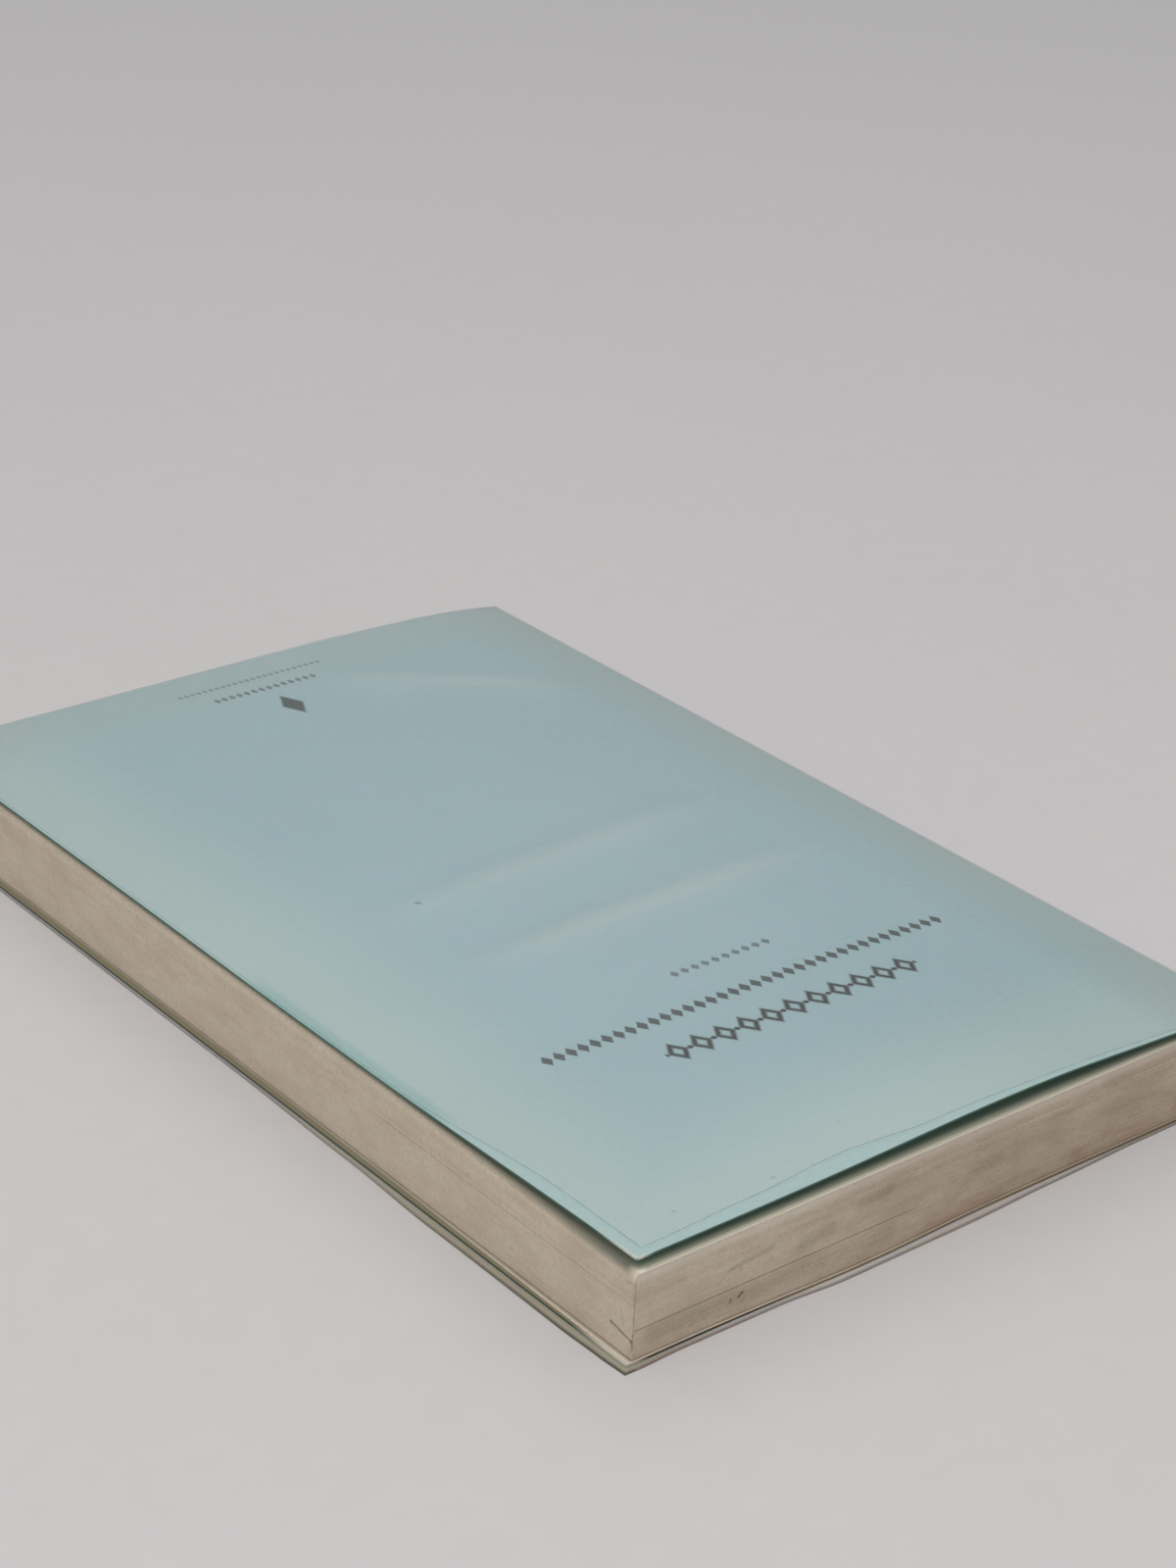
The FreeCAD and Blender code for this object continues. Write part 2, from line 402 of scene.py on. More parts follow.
# Rows of printed ornaments on the front, in mm from the fore-edge and from the head: lozenges with a
# dot between them, hollow is how much of a lozenge is left open
ornamentParts = ("start", "count", "pitch", "fromHead", "wide", "tall", "hollow", "dot", "dark")
ornaments = [dict(zip(ornamentParts, row)) for row in (
    (41.0, 11, 5.0, 42.3, 2.0, 3.1, 0.44, 0.55, 1.0),
    (23.5, 36, 2.45, 52.3, 1.02, 1.65, 0.0, 0.0, 0.9),
    (58.8, 10, 2.25, 62.7, 0.82, 1.1, 0.0, 0.0, 0.66),
    (65.3, 1, 5.2, 187.5, 2.3, 4.6, 0.0, 0.0, 0.92),
    (55.5, 14, 1.72, 196.6, 0.68, 1.1, 0.0, 0.0, 0.62),
    (50.5, 24, 1.4, 201.8, 0.6, 0.8, 0.0, 0.0, 0.42),
)]


def strokeMask(add, spot, start, end, width):
    # 1 along a line between two points, fading out to its width
    way = Vector(end) - Vector(start)
    offset = add("VectorMath.SUBTRACT", [spot, start])
    share = add("VectorMath.DOT_PRODUCT", [offset, way / way.length_squared])
    share = add("Clamp", [share.outputs["Value"], 0.0, 1.0])
    foot = add("VectorMath.SCALE", {0: way, "Scale": share})
    away = add("VectorMath.DISTANCE", [offset, foot]).outputs["Value"]
    return add("MapRange", [away, width, width * 0.25, 0.0, 1.0])


def ornamentRow(add, fore, head, row):
    # Ink mask of one row; fore and head are the distances from the fore-edge and from the head
    soft = 0.14
    dotSoft = 0.12
    shifted = add("Math.SUBTRACT", [fore, row["start"]])
    step = add("Math.WRAP", [shifted, row["pitch"], 0.0])
    side = add("Math.SUBTRACT", [step, row["pitch"] / 2.0])
    side = add("Math.ABSOLUTE", [side])
    tall = add("Math.SUBTRACT", [head, row["fromHead"]])
    tall = add("Math.ABSOLUTE", [tall])
    first = add("Math.DIVIDE", [side, row["wide"]])
    lozenge = add("Math.MULTIPLY_ADD", [tall, 1.0 / row["tall"], first])
    mask = add("MapRange", [lozenge, 1.0 + soft, 1.0 - soft, 0.0, 1.0])
    if row["hollow"]:
        outline = add("MapRange", [lozenge, row["hollow"] - soft, row["hollow"] + soft, 0.0, 1.0])
        mask = add("Math.MULTIPLY", [mask, outline])
    if row["dot"]:
        away = add("Math.SUBTRACT", [row["pitch"] / 2.0, side])
        spot = add("CombineXYZ", [away, tall])
        reach = add("VectorMath.LENGTH", [spot]).outputs["Value"]
        dot = add("MapRange", [reach, row["dot"] + dotSoft, row["dot"] - dotSoft, 0.0, 1.0])
        mask = add("Math.MAXIMUM", [mask, dot])
    middle = row["start"] + row["count"] * row["pitch"] / 2.0
    length = row["count"] * row["pitch"] / 2.0
    inside = add("Math.COMPARE", [fore, middle, length])
    mask = add("Math.MULTIPLY", [mask, inside])
    return add("Math.MULTIPLY", [mask, row["dark"]])


def tintedFace(add, spot, fore, head, nearest):
    # The flat tint: cloudy and flecked, bluish in the middle as a painted reflection, paler near the fore-edge
    # and the head as painted light, greyer towards the spine and the tail, and with a band of painted shade
    # along the fore-edge
    cloud = add("TexNoise", {"Vector": spot, "Scale": 1.0 / card["cloud"], "Detail": 4.0})
    share = add("MapRange", [cloud, 0.3, 0.7, 0.0, 1.0])
    # Painted light and reflection: the bluish middle gives way to the paler edge tint near the fore-edge and
    # the head
    litBorder = add("MapRange.SMOOTHSTEP", [nearest, *card["litBorderBand"]])
    nearSpine = add("MapRange.SMOOTHSTEP", [fore, *card["spineBand"]])
    nearTail = add("MapRange.SMOOTHSTEP", [head, *card["tailBand"]])
    # Painted shade: a darker band along the fore-edge, where the curled edge loses the sheen
    spanned = add("Math.SUBTRACT", [head, card["curlShadeCentre"]])
    spanned = add("Math.ABSOLUTE", [spanned])
    spanned = add("MapRange.SMOOTHSTEP", [spanned, *card["curlShadeLength"]])
    close = add("MapRange.SMOOTHSTEP", [fore, *card["curlShadeDepth"]])
    curlShadeAndFleck = add("Math.MULTIPLY", [spanned, close])
    mottle = add("TexNoise", {"Vector": spot, "Scale": 1.0 / card["mottle"], "Detail": 4.0, "Roughness": 0.7})
    pale = add("MapRange", [mottle, 0.5, 0.75, 0.0, card["flecks"]])
    deep = add("MapRange", [mottle, 0.5, 0.25, 0.0, card["flecks"]])
    return painted(add, card["tint"], (share, card["tintDeep"]),
                   (litBorder, card["litEdgeTint"]), (nearSpine, card["spineTint"]),
                   (nearTail, card["spineTint"]), (curlShadeAndFleck, card["curlShadeAndFleck"]),
                   (pale, card["wear"]), (deep, linear(card["curlShadeAndFleck"], 0.8)))


def printedBoard(name, printed, tone="", rim="", rows=(), specks=(), cornerShade=False):
    # Pulp board for covers, printed in one flat tint by offset: matt and smooth, faintly cloudy where the
    # tint lies uneven, greyer towards the spine and the tail, with painted light, reflection and shade on the
    # front
    material, add = newMaterial(name)
    flat = add("UVMap", uv_map="sheetMap")
    spot = add("VectorMath.SCALE", {0: flat, "Scale": 1.0 / mm})
    apart = add("SeparateXYZ", [spot])
    fore = add("Math.SUBTRACT", [cover["width"], apart.outputs[0]])
    head = add("Math.SUBTRACT", [cover["height"], apart.outputs[1]])
    nearest = add("Math.MINIMUM", [fore, head])
    if printed:
        colour = tintedFace(add, spot, fore, head, nearest)
    else:
        outermost = add("MapRange", [nearest, *card["rimBand"]])
        colour = painted(add, tone, (outermost, rim))
    for start, end, width, dark in specks:
        speck = strokeMask(add, spot, start + (0.0,), end + (0.0,), width)
        speck = add("Math.MULTIPLY", [speck, dark])
        colour = painted(add, colour, (speck, card["ink"]))
    for row in rows:
        colour = painted(add, colour, (ornamentRow(add, fore, head, row), card["ink"]))
    if cornerShade:
        # Painted shade: the cut edge is darkened as contact shadow along the fore-edge and near the corner, and
        # is lighter and browner along the head
        lighterHead = add("MapRange.SMOOTHSTEP", [fore, *card["lighterHeadBand"]])
        headEdge = painted(add, card["cornerShadedCut"], (lighterHead, card["headCut"]))
        onHead = add("Math.LESS_THAN", [head, card["headCutDepth"]])
        colour = painted(add, colour, (onHead, headEdge))
    # The tint is rubbed off to bare fibre at the worn head corner
    fibre = add("TexNoise", {"Vector": spot, "Scale": 1.0 / card["fibre"], "Detail": 3.0})
    ragged = add("Math.MULTIPLY_ADD", [fibre, card["raggedness"], nearest])
    corner = add("Math.MULTIPLY_ADD", [fore, card["wornSlant"], head])
    corner = add("MapRange", [corner, *card["wornReach"]])
    depth = add("MapRange", [ragged, *card["wornDepth"]])
    worn = add("Math.MULTIPLY", [depth, corner])
    colour = painted(add, colour, (worn, card["frayed"]))
    bump = add("Bump", {"Height": fibre, "Strength": 0.1, "Distance": 0.01 * mm})
    board = add("BsdfPrincipled", {"Base Color": colour, "Roughness": 0.55, "IOR": 1.45, "Normal": bump})
    add("OutputMaterial", [board])
    return material


def cardLimit(along, width):
    # Where the card's fore-edge lies, with its two corners rounded
    radius = cover["cornerRadius"]
    end = min(along, cover["height"] - along)
    if end >= radius:
        return width
    return width - radius + math.sqrt(max(radius ** 2 - (radius - end) ** 2, 0.0))


cardSpread = 100.0  # mm across, beyond which the card's columns follow its rounded corners
frontDown = cover["seam"] - coverHeightAt(0.0, 0.0) - cover["thickness"]
backDown = cover["bottom"] - cover["seam"]
backWidth = cover["width"] + cover["backProud"]
frontSpine = [frontDown * 0.6, frontDown * 0.3, -1.6]
backSpine = [-1.7]


def frontCardPoint(path, along):
    here = stretched(path, cardSpread, cover["width"], cardLimit(along, cover["width"]))
    return frontPoint(here, along, 0.0), frontPoint(here, along, -cover["thickness"]), (here, along), 0.0


def backCardPoint(path, along):
    here = stretched(path, cardSpread, backWidth, cardLimit(along, backWidth))
    splay = cover["splay"] * bell(here, cover["splayCentre"], cover["splaySpread"])
    out = along + splay * smoothStep((along - cover["splayStart"]) / (cover["height"] - cover["splayStart"]))
    inside = backPoint(here, out, -cover["thickness"], -cover["thickness"])
    return backPoint(here, out, 0.0, 0.0), inside, (here, along), 0.0


def makeCard(outside, plain, lining, worn, cut, shadedEdge):
    # The places that each ruler names are where its steps get closer or wider
    paths = sheetPaths(frontDown, frontSpine, (2.3, 5), (23.3, 12), (125.3, 44), (132.8, 8),
                       (134.3, 6))
    lengths = ruler((0.8, 4), (4.0, 4), (66.0, 24), (144.0, 30), (206.0, 36), (209.2, 4), (210.0, 4))
    front = sheetPiece("frontCard", paths, lengths, frontCardPoint, [outside, lining, cut])
    paths = sheetPaths(backDown, backSpine, (2.3, 5), (23.3, 8), (125.3, 20), (134.4, 8),
                       (backWidth - cover["foldRadius"], 4))
    lengths = ruler((0.8, 4), (4.0, 4), (206.0, 60), (209.2, 4), (210.0, 4))
    back = sheetPiece("backCard", paths, lengths, backCardPoint, [plain, worn, shadedEdge], turned=True)
    return front, back


printedFace = printedBoard("printedPulpBoard", True, rows=ornaments, specks=card["specks"])
plainFace = printedBoard("plainPulpBoard", True)
lining = printedBoard("dyedBoardLining", False, card["inside"], card["inside"])
cutEdge = printedBoard("dyedBoardEdge", False, card["cut"], card["cut"])
wornLining = printedBoard("wornBoardLining", False, card["inside"], card["backRim"])
# The back's cut edge, dyed board darkened with painted contact shadow
shadedBackEdge = printedBoard("shadedBoardEdge", False, card["backCut"], card["backCut"], cornerShade=True)
frontCard, backCard = makeCard(printedFace, plainFace, lining, wornLining, cutEdge, shadedBackEdge)
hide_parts("front_cover", "cover_spine")
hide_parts("back_cover", "cover_spine")
print("card cover made:", len(frontCard.data.polygons) + len(backCard.data.polygons), "faces")

# The clear jacket
film = {
    "gap": 0.12, "thickness": 0.12, "tailInset": 0.3,
    # distance of the front film's cut edges from the card's: along the head by the place across from the
    # fore-edge, and along the fore-edge by the place from the head
    "headLine": [(0.0, 1.7), (22.0, 2.5), (41.0, 3.5), (60.0, 1.7), (90.0, 0.9), (135.0, 0.5)],
    "foreLine": [(0.0, 2.1), (22.0, 2.35), (56.0, 0.25), (210.0, 0.25)],
    # how far the back film stands out of the back card's corner lines
    "backFore": [(-2.0, 2.2), (5.0, 2.5), (12.0, 2.7), (46.0, 2.6), (70.0, 2.0), (100.0, 1.55), (210.0, 1.5)],
    "backHead": [(-3.0, 1.2), (3.0, 1.35), (10.0, 1.1), (28.0, 1.3), (41.0, 2.1), (66.0, 2.0), (86.0, 1.3),
                 (108.0, 0.7), (135.0, 0.4)],
    # the head edge down the spine: how far past the card at the fold, and how that changes to the seam
    "frontSpineHead": (-0.5, 0.75), "backSpineHead": (0.4, -0.15),
    "mirror": 0.024, "edgeOn": 0.62, "roughness": 0.22, "uneven": 0.04,
    "scuff": 90.0, "nick": 400.0,  # how many scuffs on the face and nicks in the cut edge, per metre
    # soft creases, from the fore-edge and from the head in mm, start and end, then height and half width;
    # the first ones also carry a painted reflection
    "creases": [
        ((24.0, 83.8), (122.0, 85.2), 0.3, 4.0), ((24.0, 105.8), (116.0, 110.2), 0.28, 4.4),
        ((76.0, 196.0), (124.0, 161.7), 0.3, 5.0), ((90.0, 26.0), (122.0, 63.0), 0.2, 3.2),
    ],
    "creaseEnds": (0.3, 0.2), "sheenStrength": (0.15, 0.11, 0.13),
    "sheenWidth": 5.5, "sheenPower": 1.7,
    # slow bulges beside the creases: height, how many per mm, and where they begin and are full
    "cloudLift": 0.08, "cloudPace": 0.03, "flatUntil": 2.0, "cloudFade": 20.0,
    "lipWidth": 1.6, "lipLift": 0.12, "lipWave": 0.16, "lipSway": (1.3, 0.11), "lipPace": 0.12,
    "frontSpread": 60.0, "backSpread": 100.0,  # mm across, beyond which the columns follow the cut edge
    # The back film's darker tint, rim tones and darker cut are painted shade; the pale sheen colour is a
    # painted reflection on the creases and a painted highlight by the back film's edge
    "clear": "#fefdfd", "shadeDarkened": "#f3f1eb", "paleTint": "#fbfaf9", "sheenTone": "#ece8e4",
    "foreShadeTone": "#544f43", "headShadeTone": "#8d7d72", "cut": "#8fa49c", "shadedFilmCut": "#8f8a83",
    # bands, in mm across or along: where each starts, where it ends, and its share at both
    "tintShadeAcross": (116.0, 134.0, 0.0, 1.0), "tintShadeAlong": (100.0, 170.0, 0.0, 1.0),
    "brightAcross": (106.0, 98.0, 0.0, 0.35), "brightEnd": (76.0, 90.0, 0.2, 1.0),
    "rimShadeAlong": (150.0, 209.0, 0.12, 0.42), "rimShadeHead": 0.34,
    # the same in mm from the free edge
    "brightInner": (0.3, 0.8, 0.0, 1.0), "rimShadeBand": (0.9, 0.1, 0.0, 1.0),
    "shadedFilmCutAcross": (0.1, 0.13, 0.0, 1.0),  # the same in metres across
}


def lipLift(across, along):
    # The back film's free edge waves up off the table
    out = max(across - backWidth, along - cover["height"])
    if out <= 0.0:
        return 0.0
    sway, pace = film["lipSway"]
    wave = 0.5 + 0.5 * math.sin((across + along) * film["lipWave"] + sway * math.sin(across * pace))
    ripple = noise.noise(Vector((across * film["lipPace"], along * film["lipPace"], 9.0)))
    return film["lipLift"] * smoothStep(out / film["lipWidth"]) * max(wave + 0.5 * ripple, 0.0)


def filmLift(across, along):
    # How far the front film bulges off the card in its creases, which fade out towards both ends
    if across <= film["flatUntil"]:
        return 0.0
    spot = Vector((cover["width"] - across, cover["height"] - along))
    lift = 0.0
    for start, end, height, half in film["creases"]:
        way = Vector(end) - Vector(start)
        share = (spot - Vector(start)).dot(way) / way.length_squared
        away = (spot - Vector(start) - way * share).length
        fade = smoothStep(share / film["creaseEnds"][0]) * smoothStep((1.0 - share) / film["creaseEnds"][1])
        lift += height * fade * bell(away, 0.0, half)
    cloud = noise.noise(Vector((across * film["cloudPace"], along * film["cloudPace"], 4.0))) + 1.0
    return lift + film["cloudLift"] * cloud * smoothStep((across - film["flatUntil"]) / film["cloudFade"])


def creaseSheenLook(add, look, sheenLook, spot):
    # Painted reflection: a pale sheen along each crease, fading out towards both ends
    for crease, sheenStrength in zip(film["creases"], film["sheenStrength"]):
        start, end = (Vector((cover["width"] - fore, cover["height"] - head, 0.0))
                      for fore, head in crease[:2])
        ridge = strokeMask(add, spot, start, end, film["sheenWidth"])
        ridge = add("Math.POWER", [ridge, film["sheenPower"]])
        reach = (end - start).length / 2.0
        away = add("VectorMath.DISTANCE", [spot, (start + end) / 2.0]).outputs["Value"]
        fade = add("MapRange.SMOOTHSTEP", [away, reach, reach * 0.25, 0.0, sheenStrength])
        ridge = add("Math.MULTIPLY", [ridge, fade])
        look = add("MixShader", [ridge, look, sheenLook])
    return look


def edgeShadeLook(add, look, sheenLook, apart):
    # Painted shade: a darker rim along the free edge, most of all on the fore-edge near the corner; inside it
    # the part that stands past the head gets a painted highlight
    fromEdge = add("Attribute", attribute_name="fromEdge").outputs["Fac"]
    onFore = add("Math.GREATER_THAN", [apart.outputs[0], cover["width"]])
    past = add("Math.GREATER_THAN", [apart.outputs[1], cover["height"] + 0.1])
    bright = add("MapRange", [apart.outputs[0], *film["brightAcross"]])
    ended = add("MapRange", [apart.outputs[0], *film["brightEnd"]])
    inner = add("MapRange", [fromEdge, *film["brightInner"]])
    for mask in (ended, past, inner):
        bright = add("Math.MULTIPLY", [bright, mask])
    look = add("MixShader", [bright, look, sheenLook])
    rim = add("MapRange.SMOOTHSTEP", [fromEdge, *film["rimShadeBand"]])
    level = add("MapRange", [apart.outputs[1], *film["rimShadeAlong"]])
    level = add("Mix", {0: onFore, 2: film["rimShadeHead"], 3: level})
    rim = add("Math.MULTIPLY", [rim, level])
    tone = painted(add, film["headShadeTone"], (onFore, film["foreShadeTone"]))
    rimShade = add("BsdfPrincipled", {"Base Color": tone, "Roughness": 0.6})
    return add("MixShader", [rim, look, rimShade])


def clearFilm(name, creased=False, shaded=False):
    # Polyester jacket film, cast and slightly scuffed: clear, with a soft mirror that grows towards
    # glancing angles as in any plastic of index about 1.6, and a pale painted reflection along its creases
    material, add = newMaterial(name)
    flat = add("UVMap", uv_map="sheetMap")
    spot = add("VectorMath.SCALE", {0: flat, "Scale": 1.0 / mm})
    apart = add("SeparateXYZ", [spot])
    scuff = add("TexNoise", {"Vector": flat, "Scale": film["scuff"], "Detail": 3.0})
    rough = add("MapRange", [scuff, 0.1, 0.9, film["roughness"] - film["uneven"],
                             film["roughness"] + film["uneven"]])
    facing = add("LayerWeight", {"Blend": 0.5}).outputs["Facing"]
    glance = add("Math.POWER", [facing, 5.0])
    share = add("Math.MULTIPLY_ADD", [glance, film["edgeOn"], film["mirror"]])
    colour = linear(film["clear"])
    if shaded:
        # Painted shade: the back film's tint is darker along the fore-edge towards the head corner
        tintShade = add("MapRange", [apart.outputs[0], *film["tintShadeAcross"]])
        near = add("MapRange", [apart.outputs[1], *film["tintShadeAlong"]])
        tintShade = add("Math.MULTIPLY", [tintShade, near])
        colour = painted(add, film["paleTint"], (tintShade, film["shadeDarkened"]))
    clear = add("BsdfTransparent", [colour])
    shine = add("BsdfPrincipled", {"Base Color": linear("#f2f4f4"), "Metallic": 0.85, "Roughness": rough})
    look = add("MixShader", [share, clear, shine])
    sheenLook = add("BsdfPrincipled", {"Base Color": linear(film["sheenTone"]), "Roughness": 0.5})
    if creased:
        look = creaseSheenLook(add, look, sheenLook, spot)
    if shaded:
        look = edgeShadeLook(add, look, sheenLook, apart)
    add("OutputMaterial", [look])
    return material


def cutFilm(name, tint, shadeTone):
    # The film's cut edge scatters the light, so it shows as a thin line, with painted shade on the back film's
    # fore side
    material, add = newMaterial(name)
    flat = add("UVMap", uv_map="sheetMap")
    nick = add("TexNoise", {"Vector": flat, "Scale": film["nick"], "Detail": 3.0})
    share = add("MapRange", [nick, 0.3, 0.7, 0.3, 0.75])
    clear = add("BsdfTransparent")
    across = add("SeparateXYZ", [flat])
    shaded = add("MapRange", [across, *film["shadedFilmCutAcross"]])
    colour = painted(add, tint, (shaded, shadeTone))
    edge = add("BsdfPrincipled", {"Base Color": colour, "Roughness": 0.35})
    look = add("MixShader", [share, clear, edge])
    add("OutputMaterial", [look])
    return material


def filmAlong(path, length, line, sign, spineHead, down):
    # Where the head edge lies, which slants round the spine from one film's line to the other's, and the
    # place along between it and the tail edge
    if path > 0.0:
        headEnd = cover["height"] + sign * between(cover["width"] - path, film[line])
    else:
        atFold, change = film[spineHead]
        headEnd = cover["height"] + atFold + change * path / down
    return headEnd, film["tailInset"] + (headEnd - film["tailInset"]) * length / cover["height"]


def frontFilmPoint(path, length):
    along = filmAlong(path, length, "headLine", -1.0, "frontSpineHead", frontDown)[1]
    foreEnd = cover["width"] - between(cover["height"] - along, film["foreLine"])
    here = stretched(path, film["frontSpread"], cover["width"], foreEnd)
    inside = film["gap"] + filmLift(here, along)
    outside = frontPoint(here, along, inside + film["thickness"])
    return outside, frontPoint(here, along, inside), (here, along), 0.0


def backFilmPoint(path, length):
    headEnd, along = filmAlong(path, length, "backHead", 1.0, "backSpineHead", backDown)
    foreEnd = cover["width"] + between(cover["height"] - along, film["backFore"])
    here = stretched(path, film["backSpread"], cover["width"], foreEnd)
    lift = lipLift(here, along)
    outside = backPoint(here, along, film["gap"] + film["thickness"], film["thickness"], lift)
    inside = backPoint(here, along, film["gap"], 0.0, lift)
    return outside, inside, (here, along), min(foreEnd - here, headEnd - along)


def makeFilm(creased, plain, cut, shaded, shadedEdge):
    paths = sheetPaths(frontDown, frontSpine, (2.3, 5), (23.3, 14), (129.3, 60), (134.3, 5))
    lengths = ruler((2.0, 2), (206.0, 250), (210.0, 4))
    front = sheetPiece("frontFilm", paths, lengths, frontFilmPoint, [creased, plain, cut])
    paths = sheetPaths(backDown, backSpine, (2.3, 5), (23.3, 12), (125.3, 62), (131.3, 4), (134.3, 12))
    lengths = ruler((2.0, 2), (206.0, 130), (208.0, 3), (210.0, 8))
    back = sheetPiece("backFilm", paths, lengths, backFilmPoint, [shaded, shaded, shadedEdge],
                       turned=True, edged=True)
    return front, back


clear = clearFilm("clearPolyesterFilm")
creased = clearFilm("creasedPolyesterFilm", creased=True)
# The back film's look carries painted shade and a painted highlight
shadeDarkened = clearFilm("shadedPolyesterFilm", shaded=True)
filmCut = cutFilm("cutPolyesterEdge", film["cut"], film["cut"])
shadedFilmCut = cutFilm("shadedFilmCutEdge", film["shadedFilmCut"], film["foreShadeTone"])
frontFilm, backFilm = makeFilm(creased, clear, filmCut, shadeDarkened, shadedFilmCut)
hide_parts("jacket_film_front", "jacket_film_spine")
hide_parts("jacket_film_back", "jacket_film_spine")
print("film jacket made:", len(frontFilm.data.polygons) + len(backFilm.data.polygons), "faces")

# The pages, what handling has left on their cut edges, and painted light and shade on them
pages.update({
    "scatter": 0.06, "drift": 0.12, "ripple": 0.05, "topRadius": 0.5,
    "foreRoundTall": 1.7, "foreRoundDeep": 1.0,
    "lowerLeaf": 43.0, "upperLeaf": 80.0, "ledgeLeaf": 101.0, "grooveDepth": 0.35, "ledgeDepth": 0.45,
    "lastFore": 0.85, "lastHead": 0.25, "seed": 7,
    "leafShare": 0.93,                      # how much of its step a leaf fills
    "driftPace": 0.09, "ripplePace": 0.21,  # how fast both change from leaf to leaf
    "crowding": 1.6,                        # above 1 the columns of points lie closer at the spine
    "splayTall": 0.4,                       # share of the stack that splays out
    # along an edge, as shares of it: where each starts and is full, and its share at both
    "lowerFade": (0.62, 0.9, 0.0, 1.0), "upperFade": (0.72, 0.8, 0.0, 1.0), "lastSkew": (0.7, 0.95, 0.1, 1.0),
    "edgeTone": "#d6c9b7", "edgeDark": "#b5a48e", "soilAndShade": "#4c3a2a", "dust": "#7a4e30", "faceTone": "#cfc7b4",
    # The greenish tone on this line is painted shade under the cover's edge, and the brightest one a painted
    # highlight
    "highlightTone": "#fdf8ec", "bounceShade": "#5c8a80", "shade": "#434f45",
    "streak": (0.02, 0.02, 4.0), "cloud": (0.09, 0.09, 0.2),  # how fine they are in each direction, per mm
    "grit": 1.6, "uneven": 1.3, "leafContrast": 0.3,
    # strength of the streaks, stains, grit, blotches and uneven marks for two values of their noise
    "streakBand": (0.35, 0.95, 0.0, 0.2), "stainBand": (0.42, 0.75, 0.0, 0.5),
    "gritBand": (0.45, 0.72, 0.0, 0.42), "blotchBand": (0.35, 0.65, 0.75, 1.15),
    "unevenBand": (0.3, 0.6, 0.6, 1.15),
    # bands in mm: where each starts, where it ends, and its share at both
    "headBand": (208.7, 209.4, 0.0, 1.0), "dustBand": (124.0, 52.0, 0.04, 0.27),
    "lowDust": (8.0, 2.0, 0.0, 0.12), "faceBand": (133.9, 132.4, 0.0, 1.0), "faceAbove": 14.9,
    "lighterTopBand": (12.8, 15.6, 0.0, 0.3), "roundBand": (15.5, 15.72, 0.0, 1.0),
    "cornerBand": (134.5, 133.2, 0.25, 1.0), "lastBelow": 0.6, "lastShare": 0.1,
    "bounceShadeBand": (1.0, 2.6, 0.0, 0.65), "bounceShadeFade": (3.0, 9.0, 1.0, 0.0),
    # painted shade under the cover's edge and a painted shadow line below the groove: across, along and height
    # of both ends, then width and darkness
    "shades": [
        ((134.6, 150.0, 17.3), (134.6, 207.0, 16.1), 1.7, 0.75),
        ((134.9, 20.0, 0.75), (134.9, 209.5, 0.75), 0.34, 0.55),
    ],
    # handling marks, with painted shadow lines in the grooves and under the top group's ledge among them:
    # across (on the head) or along (on the fore-edge) and height of both ends, then width and darkness
    "headMarksAndShade": [
        (131.0, 4.2, 84.0, 3.6, 2.4, 0.2), (44.0, 12.6, 19.0, 12.85, 0.2, 0.45),
        (102.0, 8.0, 96.0, 9.0, 1.6, 0.2), (90.0, 10.8, 84.0, 11.6, 1.5, 0.18),
        (66.0, 8.4, 60.0, 8.0, 1.8, 0.18), (134.9, 5.74, 98.0, 5.74, 0.2, 0.55),
        (98.0, 5.74, 78.0, 5.7, 0.22, 0.25), (130.0, 11.0, 112.0, 11.3, 0.16, 0.2),
        (116.5, 9.3, 108.0, 10.2, 0.7, 0.22), (114.4, 3.8, 113.7, 4.3, 0.42, 0.8),
        (116.1, 3.4, 115.8, 4.0, 0.3, 0.55), (114.4, 8.5, 114.1, 8.8, 0.28, 0.5),
        (124.0, 2.2, 123.2, 2.5, 0.3, 0.4), (127.9, 6.0, 127.7, 6.1, 0.25, 0.4),
        (118.6, 1.9, 117.0, 2.0, 0.2, 0.3),
    ],
    "foreMarksAndShade": [
        (204.7, 4.9, 209.5, 4.0, 0.34, 0.75), (209.5, 4.0, 209.9, 2.4, 0.3, 0.6),
        (206.8, 8.5, 207.5, 5.8, 0.22, 0.35), (209.9, 14.8, 209.9, 2.6, 0.34, 0.6),
        (207.6, 13.5, 209.4, 13.9, 0.26, 0.4), (150.0, 10.2, 205.0, 10.2, 0.16, 0.3),
    ],
})


def roundedEdge(add, depth, tall, deep):
    # How far an edge falls back at a depth below the top, on a quarter ellipse
    share = add("Math.DIVIDE", [depth, tall])
    share = add("Math.SUBTRACT", [1.0, share])
    share = add("Math.MAXIMUM", [share, 0.0])
    square = add("Math.MULTIPLY", [share, share])
    left = add("Math.SUBTRACT", [1.0, square])
    left = add("Math.SQRT", [left])
    gone = add("Math.SUBTRACT", [1.0, left])
    return add("Math.MULTIPLY", [gone, deep])


